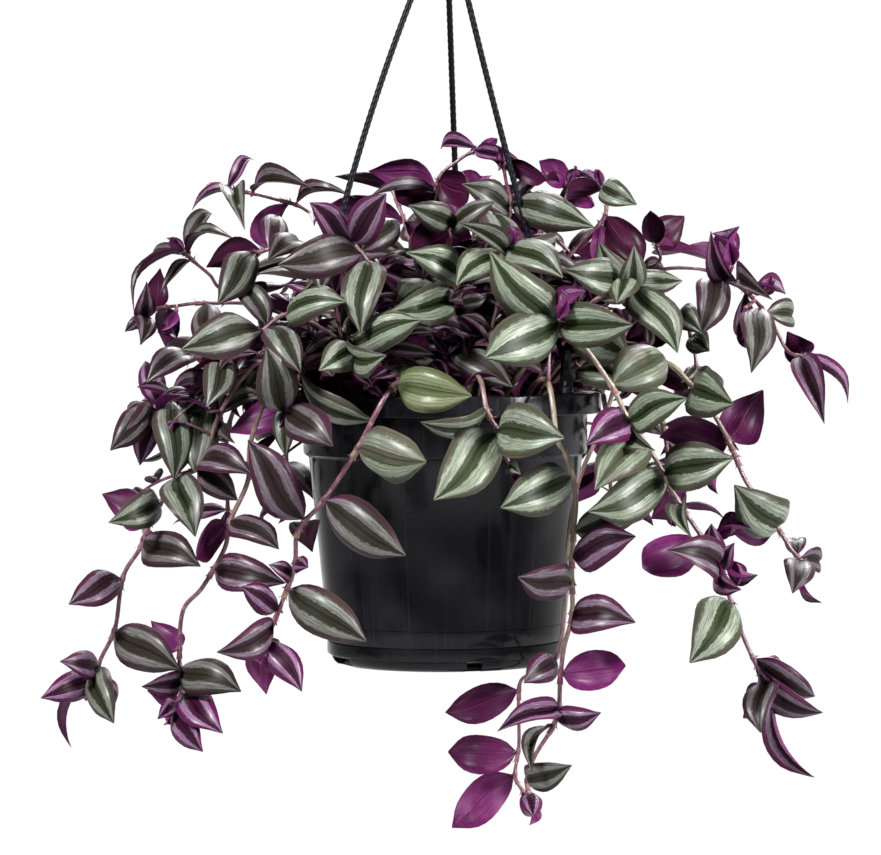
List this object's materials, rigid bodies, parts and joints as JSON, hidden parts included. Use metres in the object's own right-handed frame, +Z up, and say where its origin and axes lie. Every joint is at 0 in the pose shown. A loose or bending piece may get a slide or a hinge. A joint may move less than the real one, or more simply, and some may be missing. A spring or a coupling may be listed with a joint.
{
  "type": "hanging potted plant",
  "caption": "Trailing plant with striped silvery-green and purple leaves in a round tapered black plastic pot, hung from a hook by clipped-on strands.",
  "frame": {"origin": "the seat of the hanger's hook, the point under its bend that bears on the rail", "axes": "+Z up, -Y towards the front of the pot and plant, +X to the viewer's right"},
  "size_m": [0.3973, 0.291, 0.4893],
  "materials": {
    "pot_plastic": "smooth moulded black with a soft gloss",
    "hanger_plastic": "moulded black, slightly glossy",
    "strand_plastic": "glossy black, twisted strand with a flat moulded clip",
    "potting_soil": "loose dark mix of peat and bark, matt",
    "foliage": "silver and green striped leaves, wine purple beneath, softly glossy"
  },
  "bodies": {
    "root": {"pot": "pot_plastic", "soil": "potting_soil", "hook": "hanger_plastic", "strand_front_right": "strand_plastic", "strand_back": "strand_plastic", "strand_front_left": "strand_plastic", "trail_left_far": "foliage", "trail_left_near": "foliage", "trail_front_left": "foliage", "spill_left_front": "foliage", "spill_left": "foliage", "crown_left_low": "foliage", "crown_left": "foliage", "crown_left_front": "foliage", "crown_left_high": "foliage", "crown_top_left": "foliage", "crown_left_middle": "foliage", "crown_front_left": "foliage", "crown_front_low": "foliage", "crown_middle": "foliage", "crown_front": "foliage", "trail_right_front": "foliage", "trail_right": "foliage", "crown_right": "foliage", "crown_right_high": "foliage", "crown_top_right": "foliage", "crown_top_back": "foliage", "crown_top_middle": "foliage", "crown_top": "foliage", "crown_centre": "foliage", "crown_right_front": "foliage", "crown_right_low": "foliage", "spill_front": "foliage", "trail_front_right": "foliage", "trail_front_right_back": "foliage", "trail_back_1": "foliage", "trail_back_2": "foliage", "trail_back_3": "foliage", "trail_back_4": "foliage", "trail_back_5": "foliage", "trail_back_6": "foliage", "trail_back_7": "foliage", "arch_back_1": "foliage", "arch_back_2": "foliage", "arch_back_3": "foliage", "arch_back_4": "foliage", "upright_back_1": "foliage", "upright_back_2": "foliage"}
  },
  "joints": []
}
